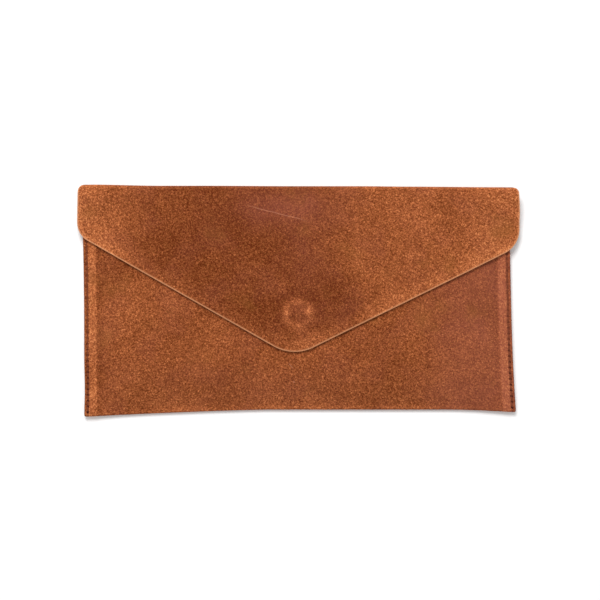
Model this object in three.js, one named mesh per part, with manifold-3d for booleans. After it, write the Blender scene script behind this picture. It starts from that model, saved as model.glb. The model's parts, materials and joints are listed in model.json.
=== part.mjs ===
// Suede envelope clutch wallet, closed and lying on its back.
// Millimetres. +X runs along the wallet to the right, +Y towards the top fold, +Z out of the front.
// The origin is the middle of the footprint, on the surface that the wallet lies on.
//
// One hide goes up the front, round the bottom fold, up the back, over the top fold (the spine)
// and down again as the flap. It is split here at its fold lines, because the spine and the flap move.
// Under it lie the lining, the facings and a magnetic snap, whose prongs go through slots.
import * as THREE from "three";
import { mergeVertices } from "three/addons/utils/BufferGeometryUtils.js";
import Module from "manifold-3d";

const wasm = await Module();
wasm.setup();

// ---------------------------------------------------------------- driving dimensions
const POUCH_WIDTH = 272; // over the stitched sides
const LENGTH = 144; // bottom fold to the outside of the top fold
const FLAP_WIDTH = 280; // the flap overhangs the pouch on both sides
const FLAP_DEPTH = 104.5; // top fold to the rounded tip
const FLAP_SLANT = THREE.MathUtils.degToRad(28); // of its two long edges, on average
const TIP = { x: -3, radius: 27 };
const LEFT = { shoulder: 30.8, top: 3, corner: 13 }; // the slant's start below the fold, and radii
const RIGHT = { shoulder: 37.5, top: 4.5, corner: 20 }; // the right slant starts lower
const SNAP_BELOW_FOLD = 80.7; // top fold to the middle of the snap
const SNAP_RADIUS = 9;
const SNAP_SIDES = 32; // of every round piece of the snap

const SUEDE = 1; // thickness of the outer hide
const FACING = 0.7; // thinner suede inside the flap and the mouth
const CLOTH = 0.3; // lining, slip pocket and interlining
const LAYER_GAP = 0.1; // between layers that lie on each other
const EDGE_GAP = 0.3; // between the edges of layers that end side by side
const THREAD = 0.6;

const HEM = 8.5; // turned-in hide along each side, so the seam is four layers thick
const STITCH_INSET = 2.3; // stitch line to the side edge
const STITCH_ENDS = 2; // from the bottom fold and from the mouth

// Heights above the table of the front panel's outer face.
const PLATEAU = 10; // over most of the pouch
const SEAM_TOP = 5; // on the side seams
const FOLD_TOP = 3.4; // at the bottom fold
const SEAM_LIFT = 0.9; // the side seams stand clear of the table
const FLAP_OVER_FRONT = 2.5; // outer face of the flap above the outer face of the front
const FLAP_DROOP = 4.3; // how far the flap's ends hang below its middle

// What the snap pushes out of the way: the front sinks and the flap rises over it.
const FRONT_DIP = 2;
const LINING_DIP = 3.7;
const FACING_RISE = 0.9;
const FLAP_RISE = 2.15;

// ---------------------------------------------------------------- places worked out from them
const TOP = LENGTH / 2;
const BOTTOM = -LENGTH / 2;
const SIDE = POUCH_WIDTH / 2;
const FLAP_SIDE = FLAP_WIDTH / 2;
const SNAP_Y = TOP - SNAP_BELOW_FOLD;

// The fold is a strip between two hinge lines. Both lie a hinge gap inside the hide's inner face.
const HINGE_GAP = 0.4;
const HINGE_Y = TOP - SUEDE - HINGE_GAP;
const HINGE_LOW_Z = SUEDE + HINGE_GAP;
const HINGE_HIGH_Z = PLATEAU + FLAP_OVER_FRONT - SUEDE - HINGE_GAP;
const HINGE_CLEARANCE = 0.3;
const SHEET_END = HINGE_Y - HINGE_CLEARANCE; // back panel and flap stop short of the hinge line
const MOUTH_Y = TOP - 3.5; // top edge of the front panel
const FACING_END = MOUTH_Y - 19; // lower edge of the facings inside the mouth
const FOLD_LIP = 1; // the stretch of the bottom fold that stands upright

// ---------------------------------------------------------------- shape of the soft layers
const step = (from, to, value) => {
  const t = THREE.MathUtils.clamp((value - from) / (to - from), 0, 1);
  return t * t * (3 - 2 * t);
};
const SLOPE_START = 95; // half width of the flat middle
const LIFT_START = 112; // outside this the back lifts towards the seam
const BOTTOM_SLOPE = 27; // length of the slope down to the bottom fold
const DROOP_FADE = 25.3; // the flap is straight across at the fold and droops this far from it
const PAD = 11; // half side of the flat pad under the snap
const PAD_SLOPE = 15; // width of the slope round the pad

const sideSlope = (x) => step(SLOPE_START, SIDE - HEM, Math.abs(x));
const bottomSlope = (y) => step(BOTTOM + BOTTOM_SLOPE, BOTTOM, y);
const snapPad = (x, y) =>
  1 - step(PAD, PAD + PAD_SLOPE, Math.max(Math.abs(x), Math.abs(y - SNAP_Y)));
const HEM_STEP = 1; // the hide doubles over this width
const onHem = (x) => Math.abs(x) > SIDE - HEM - HEM_STEP / 2;

const frontOuter = (x, y, dip) =>
  THREE.MathUtils.lerp(
    THREE.MathUtils.lerp(PLATEAU, FOLD_TOP, bottomSlope(y)),
    SEAM_TOP,
    sideSlope(x),
  ) - dip * snapPad(x, y);
const backOuter = (x) => SEAM_LIFT * step(LIFT_START, SIDE - HEM, Math.abs(x));
const hemmedSuede = (x) => (onHem(x) ? 2 : 1) * SUEDE;
const flapOuter = (x, y, rise) =>
  PLATEAU +
  FLAP_OVER_FRONT -
  FLAP_DROOP * sideSlope(x) * step(SHEET_END, SHEET_END - DROOP_FADE, y) +
  rise * snapPad(x, y);

// Every soft layer bends along the same grid lines, so layers that follow each other never cross.
const mirrored = (values) => [...values.map((v) => -v).reverse(), ...values];
const PAD_LINES = [PAD, PAD + PAD_SLOPE / 2, PAD + PAD_SLOPE];
const SIDE_LINES = [SLOPE_START, 106, 117, SIDE - HEM - HEM_STEP, SIDE - HEM];
const GRID_X = mirrored([...PAD_LINES, ...SIDE_LINES, FLAP_SIDE + 1]);
const GRID_Y = [
  BOTTOM - 1,
  ...[0, 1 / 3, 2 / 3, 1].map((share) => BOTTOM + share * BOTTOM_SLOPE),
  ...mirrored(PAD_LINES).map((v) => SNAP_Y + v),
  SHEET_END - DROOP_FADE,
  SHEET_END - DROOP_FADE / 2,
  SHEET_END,
  TOP + 1,
];

// ---------------------------------------------------------------- solids
function toSolid(geometry) {
  const bare = geometry.clone();
  bare.deleteAttribute("normal");
  bare.deleteAttribute("uv");
  const merged = mergeVertices(bare, 1e-4);
  return new wasm.Manifold(
    new wasm.Mesh({
      numProp: 3,
      vertProperties: new Float32Array(merged.attributes.position.array),
      triVerts: new Uint32Array(merged.index.array),
    }),
  );
}

function toGeometry(solid) {
  const mesh = solid.getMesh();
  const geometry = new THREE.BufferGeometry();
  geometry.setAttribute("position", new THREE.BufferAttribute(mesh.vertProperties, 3));
  geometry.setIndex(new THREE.BufferAttribute(mesh.triVerts, 1));
  geometry.computeVertexNormals();
  return geometry;
}

function box(x0, x1, y0, y1, z0, z1) {
  const geometry = new THREE.BoxGeometry(x1 - x0, y1 - y0, z1 - z0);
  geometry.translate((x0 + x1) / 2, (y0 + y1) / 2, (z0 + z1) / 2);
  return toSolid(geometry);
}

// A solid of revolution about the snap's axis, from [radius, height] points above z.
function turned(points, z) {
  const profile = [...points, points[0]].map(([radius, height]) => new THREE.Vector2(radius, height));
  const geometry = new THREE.LatheGeometry(profile, SNAP_SIDES);
  geometry.rotateX(Math.PI / 2);
  geometry.translate(0, SNAP_Y, z);
  return toSolid(geometry);
}

const disc = (radius, z0, z1) =>
  turned([[0, 0], [radius, 0], [radius, z1 - z0], [0, z1 - z0]], z0);

// A closed outline from corners [x, y, radius], given anticlockwise, with each corner rounded off.
function roundedOutline(corners) {
  const shape = new THREE.Shape();
  corners.forEach(([x, y, radius], i) => {
    const corner = new THREE.Vector2(x, y);
    const before = new THREE.Vector2(...corners.at(i - 1)).sub(corner).normalize();
    const after = new THREE.Vector2(...corners[(i + 1) % corners.length]).sub(corner).normalize();
    const half = Math.acos(before.dot(after)) / 2;
    const middle = before.clone().add(after).normalize();
    const centre = corner.clone().addScaledVector(middle, radius / Math.sin(half));
    const start = corner.clone().addScaledVector(before, radius / Math.tan(half)).sub(centre);
    const end = corner.clone().addScaledVector(after, radius / Math.tan(half)).sub(centre);
    shape.absarc(centre.x, centre.y, radius, start.angle(), end.angle(), false);
  });
  return shape;
}

function prism(shape, z0, z1) {
  const geometry = new THREE.ExtrudeGeometry(shape, {
    depth: z1 - z0,
    bevelEnabled: false,
    curveSegments: 6,
  });
  geometry.translate(0, 0, z0);
  return toSolid(geometry);
}

const rectangle = (x0, x1, y0, y1) => {
  const shape = new THREE.Shape();
  [[x0, y0], [x1, y0], [x1, y1], [x0, y1]].forEach(([x, y], i) =>
    i ? shape.lineTo(x, y) : shape.moveTo(x, y),
  );
  return shape;
};

// The underside's cells are split along the same diagonal as the top's.
function matchDiagonals(geometry) {
  const { start, count } = geometry.groups[5];
  const index = geometry.index;
  for (let i = start; i < start + count; i += 6) {
    const [a, b, d, , c] = [0, 1, 2, 3, 4].map((k) => index.getX(i + k));
    [a, b, c, a, c, d].forEach((vertex, k) => index.setX(i + k, vertex));
  }
}

// A soft layer between two heights [low, high] that vary over the wallet, cut to an outline.
function sheet(outline, heights) {
  const [nx, ny] = [GRID_X.length - 1, GRID_Y.length - 1];
  const geometry = new THREE.BoxGeometry(1, 1, 1, nx, ny, 1);
  matchDiagonals(geometry);
  const position = geometry.attributes.position;
  for (let i = 0; i < position.count; i++) {
    const x = GRID_X[Math.round((position.getX(i) + 0.5) * nx)];
    const y = GRID_Y[Math.round((position.getY(i) + 0.5) * ny)];
    const [low, high] = heights(x, y);
    position.setXYZ(i, x, y, position.getZ(i) > 0 ? high : low);
  }
  return toSolid(geometry).intersect(prism(outline, -1, 2 * PLATEAU));
}

// ---------------------------------------------------------------- outlines
// The flap's outline, drawn in by inset: round top corners, two slants and a wide arc at the tip.
function flapOutline(inset) {
  const side = FLAP_SIDE - inset;
  const rise = inset / Math.cos(FLAP_SLANT); // of a slant that moves in by inset
  const shoulderRise = rise - inset * Math.tan(FLAP_SLANT);
  const apexBelow = FLAP_DEPTH + TIP.radius * (1 / Math.cos(FLAP_SLANT) - 1);
  return roundedOutline([
    [-side, SHEET_END, LEFT.top],
    [-side, TOP - LEFT.shoulder + shoulderRise, LEFT.corner],
    [TIP.x, TOP - apexBelow + rise, TIP.radius],
    [side, TOP - RIGHT.shoulder + shoulderRise, RIGHT.corner],
    [side, SHEET_END, RIGHT.top],
  ]);
}

// ---------------------------------------------------------------- materials
const material = (color, roughness, metalness = 0) =>
  new THREE.MeshStandardMaterial({ color, roughness, metalness });
const suede = material(0x9a5430, 0.95);
const facingSuede = material(0x8a4a2b, 0.95);
const lining = material(0x6b4630, 0.85);
const board = material(0xb09a7c, 0.9);
const thread = material(0x6a331c, 0.7);
const brass = material(0xb08d57, 0.3, 1);
const steel = material(0xa8a8a4, 0.4, 1);
const ferrite = material(0x2b2b2e, 0.6);

const wallet = new THREE.Group();
wallet.name = "wallet";
function add(name, solid, finish) {
  const mesh = new THREE.Mesh(toGeometry(solid), finish);
  mesh.name = name;
  wallet.add(mesh);
}

// ---------------------------------------------------------------- magnetic snap: shared pieces
const PRONG_IN = 3.6; // inner face of a prong, from the snap's axis
const PRONG_THICK = 0.5;
const PRONG_HALF = 1.1; // half a prong's width
const PRONG_OUT = 7.6; // tip of a bent-over prong
const SLOT_ROOM = 0.2;
const WASHER = { radius: 8, hole: 2, thick: 0.5 };

// Both prongs, standing from z0 and bent outwards between b0 and b1.
function prongs(z0, b0, b1) {
  const low = Math.min(z0, b0);
  const high = Math.max(z0, b1);
  return [-1, 1]
    .map((side) => {
      const span = (from, to, za, zb) =>
        box(
          Math.min(side * from, side * to),
          Math.max(side * from, side * to),
          SNAP_Y - PRONG_HALF,
          SNAP_Y + PRONG_HALF,
          za,
          zb,
        );
      return span(PRONG_IN, PRONG_IN + PRONG_THICK, low, high).add(span(PRONG_IN, PRONG_OUT, b0, b1));
    })
    .reduce((both, one) => both.add(one));
}

// The two slots that the prongs go through.
const slots = () =>
  [-1, 1]
    .map((side) => {
      const inner = side * (PRONG_IN - SLOT_ROOM);
      const outer = side * (PRONG_IN + PRONG_THICK + SLOT_ROOM);
      return box(
        Math.min(inner, outer),
        Math.max(inner, outer),
        SNAP_Y - PRONG_HALF - SLOT_ROOM,
        SNAP_Y + PRONG_HALF + SLOT_ROOM,
        0,
        2 * PLATEAU,
      );
    })
    .reduce((both, one) => both.add(one));

function washer(z0) {
  const { hole, radius, thick } = WASHER;
  return turned([[hole, 0], [radius, 0], [radius, thick], [hole, thick]], z0).subtract(slots());
}

// ---------------------------------------------------------------- pouch
// Front panel: the hide from the mouth to the bottom, with both side hems and the bottom fold.
function frontPanel() {
  const outline = rectangle(-SIDE, SIDE, BOTTOM, MOUTH_Y);
  const panel = sheet(outline, (x, y) => {
    const outer = frontOuter(x, y, FRONT_DIP);
    return [outer - hemmedSuede(x), outer];
  });
  const fold = box(-SIDE, SIDE, BOTTOM, BOTTOM + FOLD_LIP, SEAM_LIFT, FOLD_TOP - SUEDE / 4);
  return panel.add(fold).subtract(slots());
}

// Back panel: flat on the table in the middle, lifting a little to the hemmed sides.
function backPanel() {
  const outline = rectangle(-SIDE, SIDE, BOTTOM + FOLD_LIP + LAYER_GAP, SHEET_END);
  return sheet(outline, (x) => [backOuter(x), backOuter(x) + hemmedSuede(x)]);
}

const LINING_SIDE = SIDE - HEM - 1.5;
const LINING_BOTTOM = BOTTOM + 2.5;
const liningOutline = rectangle(-LINING_SIDE, LINING_SIDE, LINING_BOTTOM, FACING_END - EDGE_GAP);

// Layers inside the front hide hang this far below its outer face, and those inside the back rise.
const insideFront = (thickness, dip) => (x, y) => {
  const top = frontOuter(x, y, dip) - SUEDE - LAYER_GAP;
  return [top - thickness, top];
};
const insideBack = (thickness) => (x) => {
  const bottom = backOuter(x) + SUEDE + LAYER_GAP;
  return [bottom, bottom + thickness];
};

add("front_panel", frontPanel(), suede);
add("back_panel", backPanel(), suede);
add("front_lining", sheet(liningOutline, insideFront(CLOTH, LINING_DIP)), lining);
add("back_lining", sheet(liningOutline, insideBack(CLOTH)), lining);

const facingOutline = (end) => rectangle(-LINING_SIDE, LINING_SIDE, FACING_END, end);
const frontFacing = sheet(facingOutline(MOUTH_Y - EDGE_GAP), insideFront(FACING, 0));
const backFacing = sheet(facingOutline(SHEET_END - EDGE_GAP), insideBack(FACING));
add("mouth_facing_front", frontFacing, facingSuede);
add("mouth_facing_back", backFacing, facingSuede);

// Slip pocket on the back lining, open at its top edge, and the stitching round its other sides.
const SLIP = { side: 55, bottom: BOTTOM + 20, top: BOTTOM + 102, inset: 2, line: THREAD };
const slipZ = SUEDE + CLOTH + 2 * LAYER_GAP;
add(
  "slip_pocket",
  box(-SLIP.side, SLIP.side, SLIP.bottom, SLIP.top, slipZ, slipZ + CLOTH),
  lining,
);
const slipThreadZ = slipZ + CLOTH + LAYER_GAP;
const slipThreadOuter = SLIP.side - SLIP.inset;
const slipThreadInner = slipThreadOuter - SLIP.line;
add(
  "slip_pocket_thread",
  box(
    -slipThreadOuter,
    slipThreadOuter,
    SLIP.bottom + SLIP.inset,
    SLIP.top,
    slipThreadZ,
    slipThreadZ + CLOTH,
  ).subtract(
    box(
      -slipThreadInner,
      slipThreadInner,
      SLIP.bottom + SLIP.inset + SLIP.line,
      SLIP.top + 1,
      slipThreadZ - 1,
      slipThreadZ + 1,
    ),
  ),
  thread,
);

// Lockstitch along both sides: the needle thread lies on the front, the bobbin thread on the back.
for (const [side, place] of [[-1, "left"], [1, "right"]]) {
  const x = side * (SIDE - STITCH_INSET);
  const run = (z) =>
    box(
      x - THREAD / 2,
      x + THREAD / 2,
      BOTTOM + STITCH_ENDS,
      MOUTH_Y - STITCH_ENDS,
      z,
      z + THREAD,
    );
  add(`needle_thread_${place}`, run(SEAM_TOP + LAYER_GAP), thread);
  add(`bobbin_thread_${place}`, run(SEAM_LIFT - LAYER_GAP - THREAD), thread);
}

// Socket half of the snap, on the sunken pad of the front panel.
const PAD_TOP = PLATEAU - FRONT_DIP; // outer face of the hide under the socket
const SOCKET = { height: 2.3, wall: 0.4, sheet: 0.3, hole: 3.4, lip: 0.9, base: 0.6 };
const MAGNET = { hole: 4, low: 0.8, high: 1.9 };
const socketInner = SNAP_RADIUS - SOCKET.wall;
const insideCap = socketInner - EDGE_GAP;
add(
  "socket_cap",
  turned(
    [
      [SOCKET.hole, SOCKET.lip],
      [SOCKET.hole + SOCKET.sheet, SOCKET.lip],
      [SOCKET.hole + SOCKET.sheet, SOCKET.height - SOCKET.sheet],
      [socketInner, SOCKET.height - SOCKET.sheet],
      [socketInner, LAYER_GAP],
      [SNAP_RADIUS, LAYER_GAP],
      [SNAP_RADIUS, SOCKET.height - SOCKET.sheet],
      [SNAP_RADIUS - SOCKET.sheet, SOCKET.height],
      [SOCKET.hole, SOCKET.height],
    ],
    PAD_TOP,
  ),
  brass,
);
add(
  "socket_magnet",
  turned(
    [
      [MAGNET.hole, MAGNET.low],
      [insideCap, MAGNET.low],
      [insideCap, MAGNET.high],
      [MAGNET.hole, MAGNET.high],
    ],
    PAD_TOP,
  ),
  ferrite,
);
const PATCH = { radius: 15, thick: 0.4 };
const patchTop = PAD_TOP - SUEDE - LAYER_GAP;
const socketWasherTop = patchTop - PATCH.thick - LAYER_GAP;
const socketBendTop = socketWasherTop - WASHER.thick - LAYER_GAP;
const baseZ = PAD_TOP + LAYER_GAP;
add(
  "socket_base",
  disc(insideCap, baseZ, baseZ + SOCKET.base).add(
    prongs(baseZ + SOCKET.base / 2, socketBendTop - PRONG_THICK, socketBendTop),
  ),
  steel,
);
add(
  "front_patch",
  disc(PATCH.radius, patchTop - PATCH.thick, patchTop).subtract(slots()),
  board,
);
add("socket_washer", washer(socketWasherTop - WASHER.thick), steel);

// ---------------------------------------------------------------- spine: the strip between the folds
const SPINE_SIDE = FLAP_SIDE - 2;
const SPINE_FACING_ENDS = { low: 0.6, high: 1.1 }; // from the two hinge lines
add(
  "spine_suede",
  box(
    -SPINE_SIDE,
    SPINE_SIDE,
    TOP - SUEDE,
    TOP,
    HINGE_LOW_Z + HINGE_CLEARANCE,
    HINGE_HIGH_Z - HINGE_CLEARANCE,
  ),
  suede,
);
add(
  "spine_facing",
  box(
    -LINING_SIDE,
    LINING_SIDE,
    TOP - SUEDE - LAYER_GAP - FACING,
    TOP - SUEDE - LAYER_GAP,
    HINGE_LOW_Z + SPINE_FACING_ENDS.low,
    HINGE_HIGH_Z - SPINE_FACING_ENDS.high,
  ),
  facingSuede,
);

// ---------------------------------------------------------------- flap
// Each layer lies at its own depth under the flap's outer face, with its outline drawn in.
const INTERLINING_DEPTH = SUEDE + LAYER_GAP;
const FACING_DEPTH = INTERLINING_DEPTH + CLOTH + LAYER_GAP;
const INTERLINING_INSET = 6;
const FACING_INSET = 1.2;
function flapLayer(inset, depth, thickness, rise) {
  return sheet(flapOutline(inset), (x, y) => {
    const top = flapOuter(x, y, rise) - depth;
    return [top - thickness, top];
  });
}
const interlining = flapLayer(INTERLINING_INSET, INTERLINING_DEPTH, CLOTH, FACING_RISE);
const flapFacing = flapLayer(FACING_INSET, FACING_DEPTH, FACING, FACING_RISE);
add("flap_suede", flapLayer(0, 0, SUEDE, FLAP_RISE), suede);
add("flap_interlining", interlining.subtract(slots()), board);
add("flap_facing", flapFacing.subtract(slots()), facingSuede);

// Stud half of the snap, under the flap, with its washer between the flap's layers.
const facingUnder = PLATEAU + FLAP_OVER_FRONT + FACING_RISE - FACING_DEPTH - FACING;
const STUD = { plate: 0.7, radius: 3, length: 1.25, stem: 1.2, bevel: 0.3, seat: 0.05 };
const plateTop = facingUnder - LAYER_GAP;
const plateUnder = plateTop - STUD.plate;
const interliningTop = facingUnder + FACING + LAYER_GAP + CLOTH;
const studWasherZ = interliningTop + LAYER_GAP;
const studBendZ = studWasherZ + WASHER.thick + LAYER_GAP;
add(
  "stud_plate",
  disc(SNAP_RADIUS, plateUnder, plateTop)
    .subtract(disc(STUD.stem + SLOT_ROOM, plateUnder - 1, plateTop + 1))
    .add(prongs(plateUnder + STUD.plate / 2, studBendZ, studBendZ + PRONG_THICK)),
  brass,
);
add(
  "stud_pin",
  turned(
    [
      [0, -STUD.length],
      [STUD.radius - STUD.bevel, -STUD.length],
      [STUD.radius, STUD.bevel - STUD.length],
      [STUD.radius, -STUD.seat],
      [STUD.stem, -STUD.seat],
      [STUD.stem, STUD.plate],
      [0, STUD.plate],
    ],
    plateUnder,
  ),
  brass,
);
add("stud_washer", washer(studWasherZ), steel);

export default wallet;
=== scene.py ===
# The looks of a suede envelope clutch wallet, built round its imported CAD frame.
#
# Lengths are millimetres in the CAD frame: +X to the right, +Y to the top fold, +Z out of the flap.
# They become metres where a mesh, a lamp or the camera is made.
#
# One hide makes the whole outside: it goes up the front, round the bottom fold, up the back, over the
# top fold and down as the flap. Its own coordinates are x and s. s is y on the flap and grows on over
# the fold, down the back and up the front, so the grain runs without a break from piece to piece.
import json
import math

import bmesh
import bpy
import numpy as np
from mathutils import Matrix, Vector
from mathutils.geometry import delaunay_2d_cdt


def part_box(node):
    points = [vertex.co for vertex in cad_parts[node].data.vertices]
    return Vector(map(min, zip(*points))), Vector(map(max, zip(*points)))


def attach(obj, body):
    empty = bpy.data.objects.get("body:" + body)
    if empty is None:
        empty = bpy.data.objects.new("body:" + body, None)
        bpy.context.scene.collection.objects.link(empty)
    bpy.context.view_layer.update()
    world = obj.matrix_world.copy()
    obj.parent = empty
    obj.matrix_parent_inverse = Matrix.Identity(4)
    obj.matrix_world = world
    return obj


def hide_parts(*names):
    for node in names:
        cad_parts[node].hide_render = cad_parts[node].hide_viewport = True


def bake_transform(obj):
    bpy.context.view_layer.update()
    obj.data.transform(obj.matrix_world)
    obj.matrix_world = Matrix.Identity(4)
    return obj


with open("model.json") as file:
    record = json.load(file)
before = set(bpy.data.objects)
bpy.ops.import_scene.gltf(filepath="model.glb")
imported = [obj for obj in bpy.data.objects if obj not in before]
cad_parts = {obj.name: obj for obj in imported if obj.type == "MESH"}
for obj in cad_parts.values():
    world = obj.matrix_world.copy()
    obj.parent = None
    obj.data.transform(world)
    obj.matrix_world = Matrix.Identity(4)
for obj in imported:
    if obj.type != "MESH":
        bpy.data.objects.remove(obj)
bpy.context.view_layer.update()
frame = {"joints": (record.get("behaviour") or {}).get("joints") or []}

MM = 0.001


def box_mm(node):
    return [np.array(corner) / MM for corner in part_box(node)]


# ---- sizes from the frame
(_, BOTTOM, SEAM_LIFT), (SIDE, MOUTH, PLATEAU) = box_mm("front_panel")
TOP = box_mm("spine_suede")[1][1]
(_, FLAP_TIP, _), (FLAP_SIDE, _, _) = box_mm("flap_suede")
flap_fold = next(joint for joint in frame["joints"] if joint["name"] == "flap_fold")
HIGH_HINGE = np.array(flap_fold["pos_m"]) / MM
FLAP_LEVEL = HIGH_HINGE[2] + TOP - HIGH_HINGE[1]  # outer face of the flap over the pouch
SOCKET_LO, SOCKET_HI = box_mm("socket_cap")
SNAP_X, SNAP_Y, _ = (SOCKET_LO + SOCKET_HI) / 2
SNAP_RADIUS = (SOCKET_HI - SOCKET_LO)[0] / 2
(_, _, PLATE_UNDER), (_, _, PRONG_TOP) = box_mm("stud_plate")
PIN_LO, PIN_HI = box_mm("stud_pin")
PATCH_LO, PATCH_HI = box_mm("front_patch")
THREAD_LO, THREAD_HI = box_mm("needle_thread_right")
THREAD = (THREAD_HI - THREAD_LO)[0]
STITCH_INSET = SIDE - THREAD_HI[0] + THREAD / 2
LINING_SIDE = box_mm("front_lining")[1][0]
FACING_END = box_mm("mouth_facing_front")[0][1]
SLIP_LO, SLIP_HI = box_mm("slip_pocket")

HIDE = 1.0
FACING = 0.7
CLOTH = 0.3
GAP = 0.1  # between two layers
EDGE_GAP = 0.3  # by which an inner piece's edge keeps clear of its neighbour's
SEAM_TOP = 5.0  # the side seams are four layers thick
FOLD_TOP = 3.4  # outer face of the front where the bottom fold starts
HEM = 8.2
STITCH_PITCH = 3.6
FRONT_DIP, LINING_DIP, FACING_RISE = 2.0, 3.7, 0.9  # what the snap pushes aside
INTERLINING_DEPTH = HIDE + GAP
FACING_DEPTH = INTERLINING_DEPTH + CLOTH + GAP


# ---- small helpers
def smooth(start, end, value):
    t = np.clip((value - start) / (end - start), 0, 1)
    return t * t * (3 - 2 * t)


def eased(start, end, value):
    """Rises at once and levels out, as a stuffed surface does beside a seam."""
    t = np.clip((value - start) / (end - start), 0, 1)
    return 1 - (1 - t) ** 2


def mix(a, b, share):
    return a + (b - a) * share


def hill(x, y, width, depth, power=2):
    """1 at the origin, falling to nothing over about width and depth."""
    return np.exp(-(np.abs(x / width) ** power) - np.abs(y / depth) ** power)


def ridge(value, centre, width):
    return np.exp(-(((value - centre) / width) ** 2))


def waves(x, y, cell, seed):
    """Smooth rises and falls between about -1 and 1, about cell apart."""
    rng = np.random.default_rng(seed)
    total = 0
    for _ in range(8):
        heading, phase = rng.uniform(0, 2 * np.pi, 2)
        along = x * np.cos(heading) + y * np.sin(heading)
        total = total + np.sin(2 * np.pi * along / (cell * rng.uniform(1.3, 2.8)) + phase)
    return total / 4


def stacked(*parts):
    return np.stack(np.broadcast_arrays(*parts), axis=-1)


# ---- outlines in plan
def left_edge(y):
    """x of the left side, which leans out above the middle and is drawn in near the foot."""
    return -135.6 - 0.8 * np.clip((y + 20) / 60, 0, 1) ** 2 + 0.4 * ridge(y, -56, 12)


def right_edge(y):
    """x of the right side, which spreads towards the foot."""
    t = np.clip((31 - y) / 101, 0, 1.05)
    return 134.55 + 1.8 * t + 1.9 * t**3


def side_distance(x, y):
    return np.minimum(x - left_edge(y), right_edge(y) - x)


def bottom_edge(x):
    """The bottom fold is drawn up in the middle, because the corners are stiff with their hems."""
    left = np.clip((-18 - x) / 108, 0, 1.1) ** 1.3
    right = np.clip((x - 96) / 39, 0, 1.1) ** 1.5
    return BOTTOM + 2.3 - 4.0 * left - 1.4 * right


def fold_edge(x):
    """How far out the top fold reaches: a little further towards the left end."""
    left = 0.25 * smooth(0, -60, x) + 0.8 * smooth(-85, -132, x)
    right = 0.25 * smooth(40, 70, x) + 0.4 * smooth(60, 130, x)
    return TOP - 0.05 + left - right


FLAP_LEFT, FLAP_RIGHT = -FLAP_SIDE + 0.4, FLAP_SIDE + 0.15
FOLD_CORNER = 4.2  # the flap's ends round off into the fold over this depth
FOLD_NARROWER = 3.6
FOLD_LEFT, FOLD_RIGHT = FLAP_LEFT + FOLD_NARROWER, FLAP_RIGHT - FOLD_NARROWER


def length_along(points):
    return np.concatenate([[0], np.cumsum(np.linalg.norm(np.diff(points, axis=0), axis=1))])


def resampled(loop, step):
    """A closed loop again, with points about step apart."""
    closed = np.vstack([loop, loop[:1]])
    run = length_along(closed)
    at = np.linspace(0, run[-1], round(run[-1] / step), endpoint=False)
    return np.stack([np.interp(at, run, closed[:, k]) for k in range(2)], axis=1)


def rounded(corners, step=0.7):
    """A closed outline from corners [x, y, radius], given anticlockwise, with points step apart."""
    points = []
    for i, (x, y, radius) in enumerate(corners):
        corner = np.array([x, y])
        before = np.array(corners[i - 1][:2]) - corner
        after = np.array(corners[(i + 1) % len(corners)][:2]) - corner
        before, after = before / np.linalg.norm(before), after / np.linalg.norm(after)
        half = math.acos(before @ after) / 2
        mx, my = (before + after) / np.linalg.norm(before + after)
        centre = corner + np.array([mx, my]) * radius / math.sin(half)
        sweep = math.pi - 2 * half
        convex = before[0] * after[1] - before[1] * after[0] < 0
        ends = (-sweep / 2, sweep / 2) if convex else (sweep / 2, -sweep / 2)
        for turn in np.linspace(*ends, max(2, round(radius * sweep / step) + 1)):
            c, s = math.cos(turn), math.sin(turn)
            points.append(centre - radius * np.array([mx * c - my * s, mx * s + my * c]))
    return resampled(np.array(points), step)


# ---- heights of the layers
def snap_radius(x, y):
    return np.hypot(x - SNAP_X, y - SNAP_Y)


def pad(x, y):
    """1 where the snap holds the layers flat, and 0 well outside it."""
    return 1 - smooth(11, 26, snap_radius(x, y))


def slack(x, y):
    """The soft unevenness that all layers of the pouch share."""
    free = smooth(9, 45, side_distance(x, y)) * smooth(2, 25, y - bottom_edge(x))
    return 0.3 * waves(x, y, 42, 3) * free * (1 - 0.8 * pad(x, y))


def front_top(x, y, dip=FRONT_DIP):
    """The front panel's outer face, without the seam's fine shape."""
    edge = side_distance(x, y)
    above_fold = np.sqrt(np.clip(y - bottom_edge(x) - 1.7, 0, None) ** 2 + 4) - 2
    middle = mix(FOLD_TOP, PLATEAU, eased(0, 30, above_fold))
    seam = mix(SEAM_TOP, 4.5, smooth(HEM - 0.4, HEM + 0.8, edge))
    return mix(seam, middle, eased(HEM + 0.4, 44, edge)) + slack(x, y) - dip * pad(x, y)


def first_stitch(x):
    return bottom_edge(x) + 3


def seam_relief(x, y):
    """The stitch line's groove, the pinch at each hole and the hem's crown."""
    edge = side_distance(x, y)
    along = (y - first_stitch(x)) / STITCH_PITCH
    beat = np.abs((along + 0.5) % 1 - 0.5) * STITCH_PITCH
    pinch = 0.3 * ridge(edge, STITCH_INSET, 0.55) * ridge(beat, 0, 0.6)
    groove = 0.28 * ridge(edge, STITCH_INSET, 0.75)
    return (0.12 * ridge(edge, 5.4, 1.8) - groove - pinch) * smooth(2.1, 2.9, y - bottom_edge(x))


def back_bottom(x):
    return SEAM_LIFT * smooth(SIDE - 24, SIDE - HEM, np.abs(x))


def snap_print(x, y):
    """The disc of the snap's washer, its rim and its two prongs, pressed up through the flap."""
    dx, dy, radius = x - SNAP_X, y - SNAP_Y, snap_radius(x, y)
    disc = 0.62 * (1 - smooth(8.1, 10.4, radius)) + 0.1 * ridge(radius, 7.8, 0.8)
    prongs = 0.5 * hill(np.abs(dx) - 5.6, dy, 3.2, 2.0, power=4)
    return disc + prongs + 0.14 * hill(dx, dy, 1.4, 1.4)


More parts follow.
